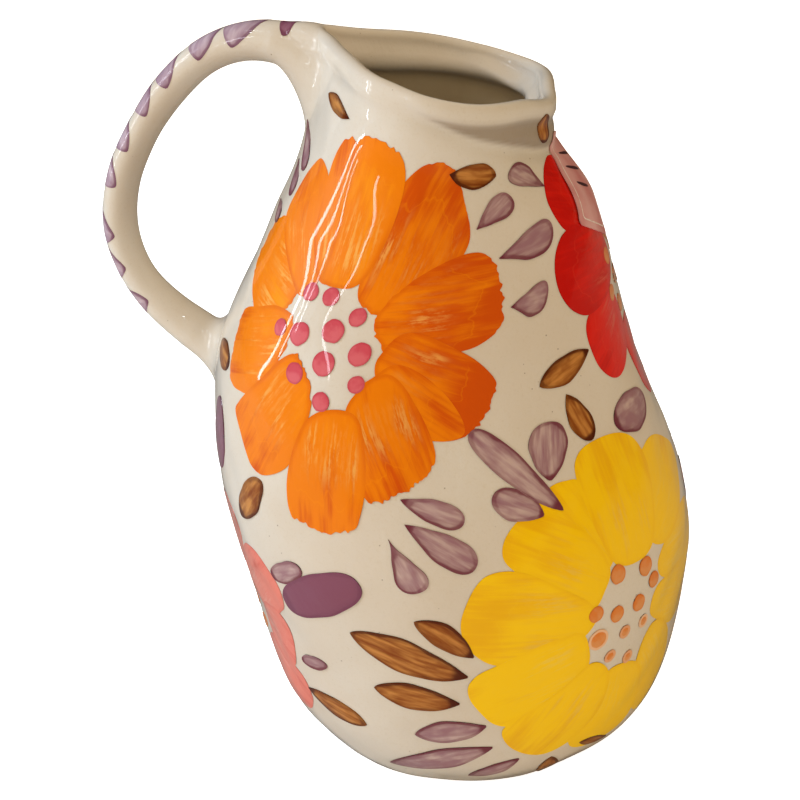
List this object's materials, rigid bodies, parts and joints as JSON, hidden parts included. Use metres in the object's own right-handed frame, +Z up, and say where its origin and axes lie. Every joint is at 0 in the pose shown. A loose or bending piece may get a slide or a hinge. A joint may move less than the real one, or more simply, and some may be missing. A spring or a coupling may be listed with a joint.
{
  "type": "ceramic pitcher",
  "caption": "Pear-shaped ceramic pitcher with a wavy rolled rim, a low spout, a large round loop handle, a ring foot and a painted all-over pattern of flowers, leaves and petals.",
  "frame": {"origin": "centre of the foot ring, on the face that the pitcher stands on", "axes": "+Z up along the vessel; +X towards the spout and -X towards the handle; the XZ plane is the plane of symmetry"},
  "size_m": [0.2194, 0.17, 0.265],
  "materials": {
    "glazed_ceramic": "glossy off-white glaze over fine stoneware, with underglaze brush painting",
    "bare_clay": "unglazed, wiped stoneware, matte",
    "label_paper": "semi-gloss blank adhesive label"
  },
  "bodies": {
    "root": {"vessel": "glazed_ceramic", "foot_ring": "bare_clay", "handle": "glazed_ceramic", "upper_handle_joint": "glazed_ceramic", "lower_handle_joint": "glazed_ceramic", "paper_label": "label_paper"}
  },
  "joints": []
}
